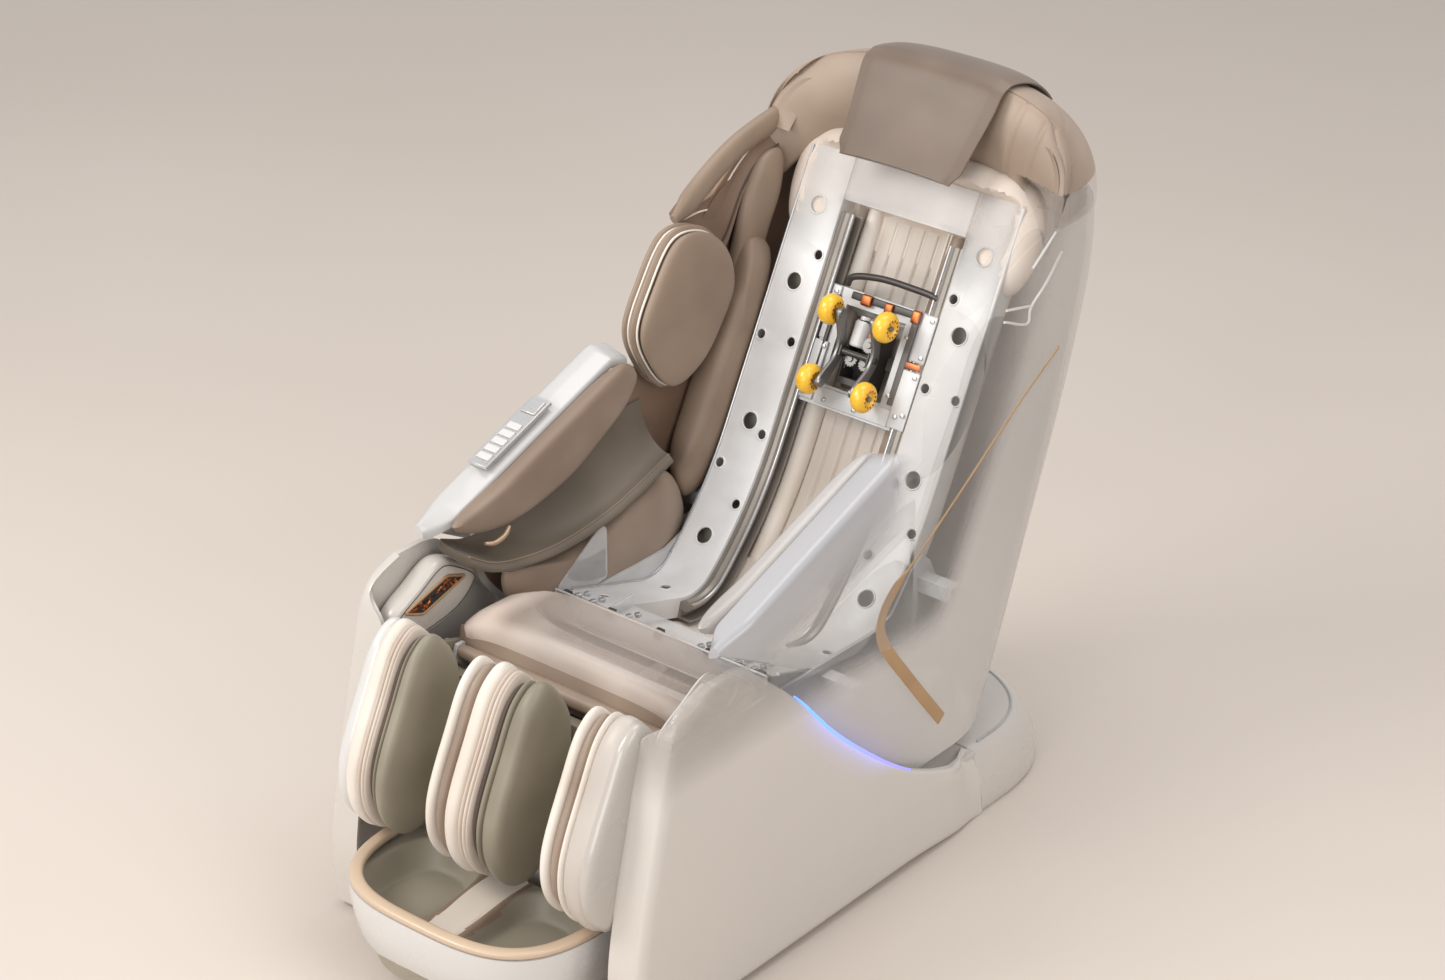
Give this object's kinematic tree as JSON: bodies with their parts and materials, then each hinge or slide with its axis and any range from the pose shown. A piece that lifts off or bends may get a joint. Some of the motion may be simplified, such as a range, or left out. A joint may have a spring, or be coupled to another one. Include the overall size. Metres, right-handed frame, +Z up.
{
  "type": "massage chair",
  "caption": "Full-body reclining massage chair with an exposed roller track and carriage, padded shoulder, arm and leg cushions, a hood and a sliding foot rest.",
  "frame": {"origin": "on the floor, under the middle of the chair's bounding box", "axes": "+Z up, -Y the way the sitter faces, +X the sitter's left"},
  "size_m": [0.74, 1.6238, 1.3324],
  "materials": {
    "white_shell": "gloss",
    "clear_shell": "gloss",
    "cream_leather": "satin",
    "tan_leather": "satin",
    "taupe_leather": "satin",
    "bronze_trim": "satin",
    "track_paint": "gloss",
    "bare_steel": "satin",
    "dark_metal": "satin",
    "light_alloy": "satin",
    "dark_plastic": "matte",
    "silver_plastic": "satin",
    "copper_winding": "satin",
    "amber_rubber": "gloss"
  },
  "bodies": {
    "base": {"base_foot": "white_shell", "power_inlet": "dark_plastic", "base_frame": "dark_metal", "side_cover_left": "white_shell", "side_cover_right": "white_shell", "power_box": "dark_plastic"},
    "seat_unit": {"seat_frame": "dark_metal", "track_plate_left": "track_paint", "track_plate_right": "track_paint", "track_top_plate": "track_paint", "seat_bracket": "light_alloy", "guide_rail_left": "bare_steel", "guide_rail_right": "bare_steel", "seat_cushion": "cream_leather", "hip_cushion_left": "tan_leather", "hip_cushion_right": "tan_leather", "back_liner": "cream_leather", "head_pillow": "cream_leather", "head_flap": "tan_leather", "hood": "tan_leather", "back_bolster_left": "tan_leather", "back_bolster_right": "tan_leather", "shoulder_pad_left": "tan_leather", "shoulder_pad_right": "tan_leather", "back_shell": "clear_shell", "arm_shell_left": "white_shell", "arm_shell_right": "white_shell", "arm_pad_left": "tan_leather", "arm_pad_right": "tan_leather", "arm_shelf_left": "taupe_leather", "arm_shelf_right": "taupe_leather", "control_panel": "silver_plastic", "touch_pad": "silver_plastic"},
    "key_1": {"key_1": "silver_plastic"},
    "key_2": {"key_2": "silver_plastic"},
    "key_3": {"key_3": "silver_plastic"},
    "key_4": {"key_4": "silver_plastic"},
    "key_5": {"key_5": "silver_plastic"},
    "carriage": {"carriage_frame": "light_alloy"},
    "massage_head": {"head_frame": "dark_metal", "knead_motor": "copper_winding"},
    "massage_arm_left": {"massage_arm_left": "light_alloy"},
    "massage_arm_right": {"massage_arm_right": "light_alloy"},
    "roller_upper_left": {"roller_upper_left": "amber_rubber"},
    "roller_lower_left": {"roller_lower_left": "amber_rubber"},
    "roller_upper_right": {"roller_upper_right": "amber_rubber"},
    "roller_lower_right": {"roller_lower_right": "amber_rubber"},
    "leg_rest": {"leg_board": "dark_plastic", "fin_left": "cream_leather", "fin_right": "cream_leather", "fin_middle": "cream_leather", "fin_cover_left": "white_shell", "fin_cover_right": "white_shell"},
    "foot_rest": {"foot_tub": "white_shell", "tub_rim": "bronze_trim", "foot_liner": "taupe_leather"},
    "tilt_actuator_body": {"tilt_actuator_body": "dark_metal"},
    "tilt_actuator_rod": {"tilt_actuator_rod": "bare_steel"},
    "leg_actuator_body": {"leg_actuator_body": "dark_metal"},
    "leg_actuator_rod": {"leg_actuator_rod": "bare_steel"}
  },
  "joints": [
    {"name": "recline", "type": "hinge", "parent": "base", "child": "seat_unit", "pos_m": [0, 0.37015, 0.3], "axis": [-1, 0, 0], "range_deg": [0, 20]},
    {"name": "leg_rest_swing", "type": "hinge", "parent": "seat_unit", "child": "leg_rest", "pos_m": [0, -0.41985, 0.47], "axis": [-1, 0, 0], "range_deg": [0, 50]},
    {"name": "foot_rest_slide", "type": "slide", "parent": "leg_rest", "child": "foot_rest", "axis": [0, -0.2756, -0.9613], "range_m": [0, 0.1]},
    {"name": "carriage_travel", "type": "slide", "parent": "seat_unit", "child": "carriage", "axis": [0, 0.4695, 0.8829], "range_m": [-0.06, 0.09]},
    {"name": "head_advance", "type": "slide", "parent": "carriage", "child": "massage_head", "axis": [0, -0.8829, 0.4695], "range_m": [-0.008, 0.024]},
    {"name": "arm_rock_left", "type": "hinge", "parent": "massage_head", "child": "massage_arm_left", "pos_m": [0, 0.39619, 0.82157], "axis": [1, 0, 0], "range_deg": [-12, 12]},
    {"name": "arm_rock_right", "type": "hinge", "parent": "massage_head", "child": "massage_arm_right", "pos_m": [0, 0.39619, 0.82157], "axis": [1, 0, 0], "range_deg": [-12, 12]},
    {"name": "roller_upper_left_spin", "type": "hinge", "parent": "massage_arm_left", "child": "roller_upper_left", "pos_m": [0, 0.40115, 0.89481], "axis": [1, 0, 0], "continuous": true},
    {"name": "roller_lower_left_spin", "type": "hinge", "parent": "massage_arm_left", "child": "roller_lower_left", "pos_m": [0, 0.33825, 0.7765], "axis": [1, 0, 0], "continuous": true},
    {"name": "roller_upper_right_spin", "type": "hinge", "parent": "massage_arm_right", "child": "roller_upper_right", "pos_m": [0, 0.40115, 0.89481], "axis": [1, 0, 0], "continuous": true},
    {"name": "roller_lower_right_spin", "type": "hinge", "parent": "massage_arm_right", "child": "roller_lower_right", "pos_m": [0, 0.33825, 0.7765], "axis": [1, 0, 0], "continuous": true},
    {"name": "key_1_press", "type": "slide", "parent": "seat_unit", "child": "key_1", "axis": [0, 0.3437, -0.9391], "range_m": [0, 0.0015], "stiffness_N_per_m": 800, "springref_m": -0.0005},
    {"name": "key_2_press", "type": "slide", "parent": "seat_unit", "child": "key_2", "axis": [0, 0.3437, -0.9391], "range_m": [0, 0.0015], "stiffness_N_per_m": 800, "springref_m": -0.0005},
    {"name": "key_3_press", "type": "slide", "parent": "seat_unit", "child": "key_3", "axis": [0, 0.3437, -0.9391], "range_m": [0, 0.0015], "stiffness_N_per_m": 800, "springref_m": -0.0005},
    {"name": "key_4_press", "type": "slide", "parent": "seat_unit", "child": "key_4", "axis": [0, 0.3437, -0.9391], "range_m": [0, 0.0015], "stiffness_N_per_m": 800, "springref_m": -0.0005},
    {"name": "key_5_press", "type": "slide", "parent": "seat_unit", "child": "key_5", "axis": [0, 0.3437, -0.9391], "range_m": [0, 0.0015], "stiffness_N_per_m": 800, "springref_m": -0.0005},
    {"name": "tilt_actuator_swing", "type": "hinge", "parent": "base", "child": "tilt_actuator_body", "pos_m": [0.06, -0.25985, 0.11], "axis": [1, 0, 0], "range_deg": [0, 12]},
    {"name": "tilt_actuator_stroke", "type": "slide", "parent": "tilt_actuator_body", "child": "tilt_actuator_rod", "axis": [0, 0.8285, 0.56], "range_m": [0, 0.09]},
    {"name": "leg_actuator_swing", "type": "hinge", "parent": "seat_unit", "child": "leg_actuator_body", "pos_m": [-0.06, -0.12985, 0.3], "axis": [1, 0, 0], "range_deg": [-2, 0]},
    {"name": "leg_actuator_stroke", "type": "slide", "parent": "leg_actuator_body", "child": "leg_actuator_rod", "axis": [0, -0.9378, 0.3473], "range_m": [0, 0.053]}
  ],
  "couplings": [
    {"joint": "tilt_actuator_swing", "follows": "recline", "ratio": 0.582},
    {"joint": "tilt_actuator_stroke", "follows": "recline", "m_per_rad": 0.2521},
    {"joint": "leg_actuator_swing", "follows": "leg_rest_swing", "ratio": -0.021},
    {"joint": "leg_actuator_stroke", "follows": "leg_rest_swing", "m_per_rad": 0.05844}
  ]
}
